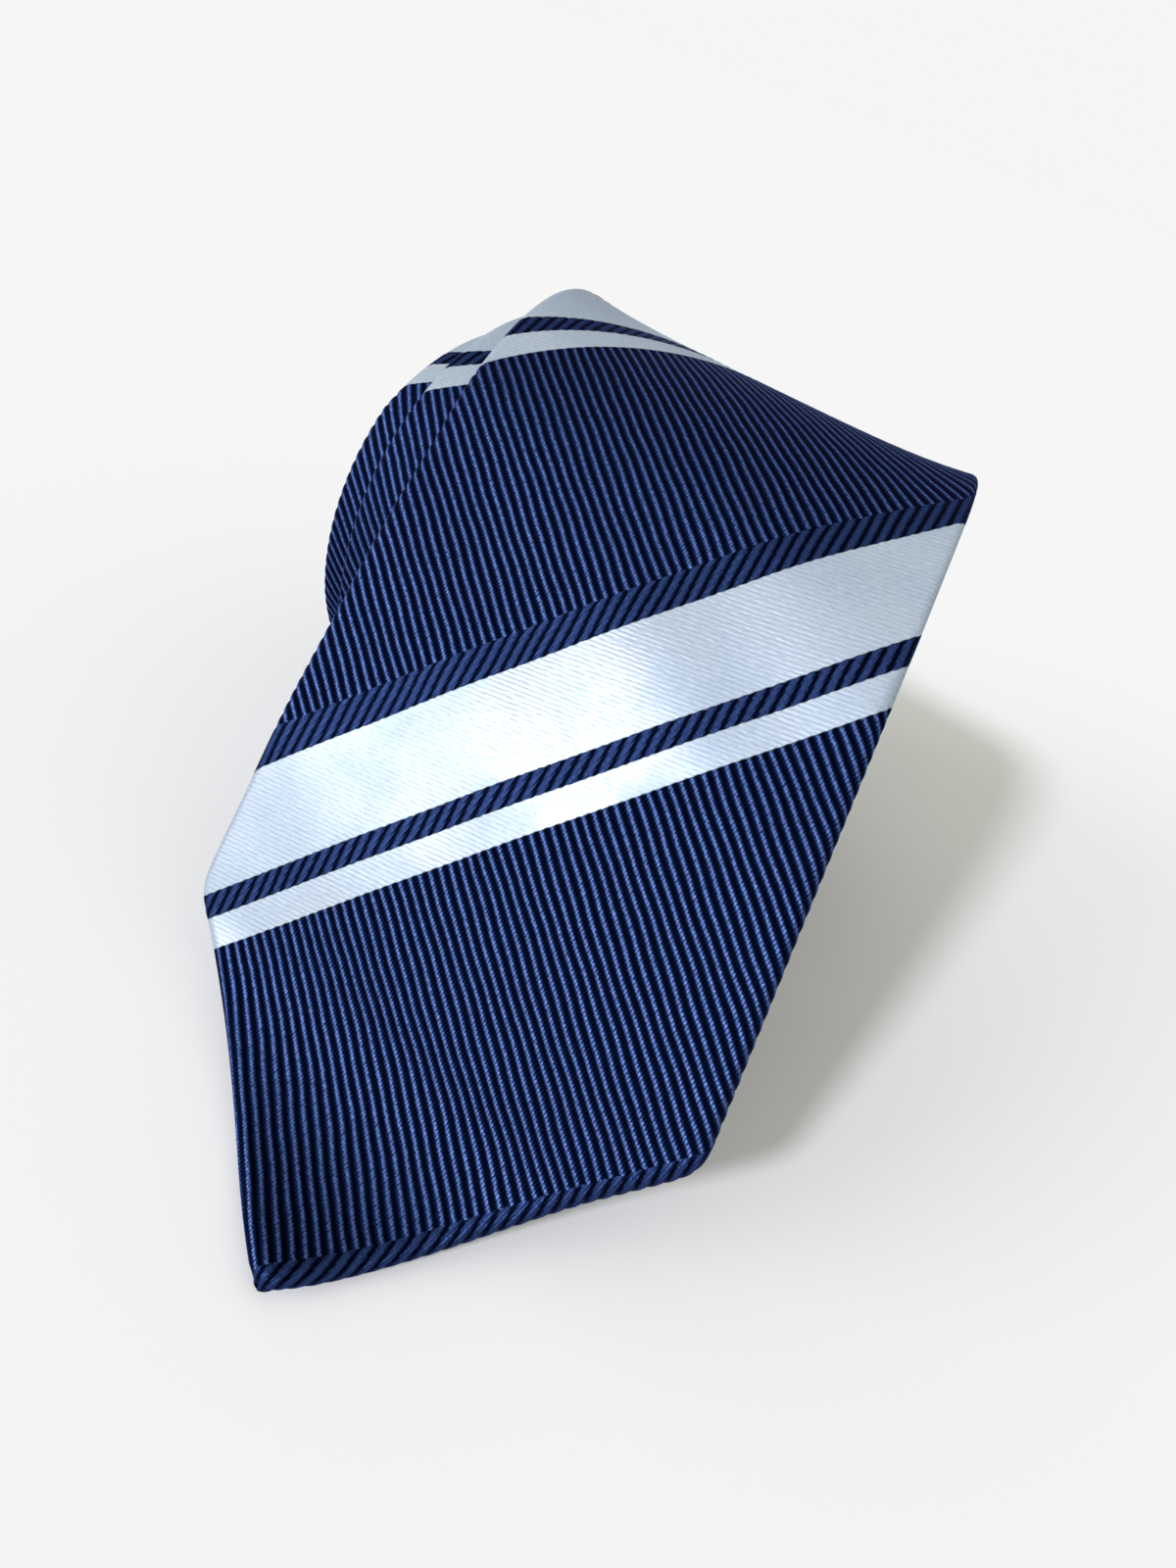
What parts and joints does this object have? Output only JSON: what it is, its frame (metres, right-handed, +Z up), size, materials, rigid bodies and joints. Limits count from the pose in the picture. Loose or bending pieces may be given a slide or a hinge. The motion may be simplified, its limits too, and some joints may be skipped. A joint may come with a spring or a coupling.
{
  "type": "necktie",
  "caption": "Rolled lined silk necktie with diagonal stripes, its wide blade brought over the roll and down to the table.",
  "frame": {"origin": "middle of the bounding box, on the surface that the roll and the blade's point rest on", "axes": "+X along the roll's axis, -Y the way the wide blade's point lies, +Z up"},
  "size_m": [0.1062, 0.15, 0.0857],
  "materials": {
    "face_silk": "ribbed navy silk with pale blue satin stripes, soft sheen",
    "interlining": "matt brushed wool",
    "tipping": "smooth navy lining, soft sheen",
    "thread": "navy silk thread",
    "label": "plain woven navy patch, no lettering"
  },
  "bodies": {
    "roll": {"front_blade_rolled": "face_silk", "neck_piece": "face_silk", "tail_blade": "face_silk", "front_piecing_seam": "thread", "tail_piecing_seam": "thread", "interlining_roll": "interlining", "tail_tipping": "tipping", "slip_stitch_roll": "thread", "tail_bar_tack": "thread", "keeper_loop": "face_silk", "blank_label": "label"},
    "blade": {"front_blade": "face_silk", "interlining_blade": "interlining", "front_tipping": "tipping", "slip_stitch_blade": "thread", "front_bar_tack": "thread"}
  },
  "joints": [
    {"name": "blade_lift", "type": "hinge", "parent": "roll", "child": "blade", "pos_m": [0, 0.03234, 0.08568], "axis": [-1, 0, 0], "range_deg": [0, 60]}
  ]
}
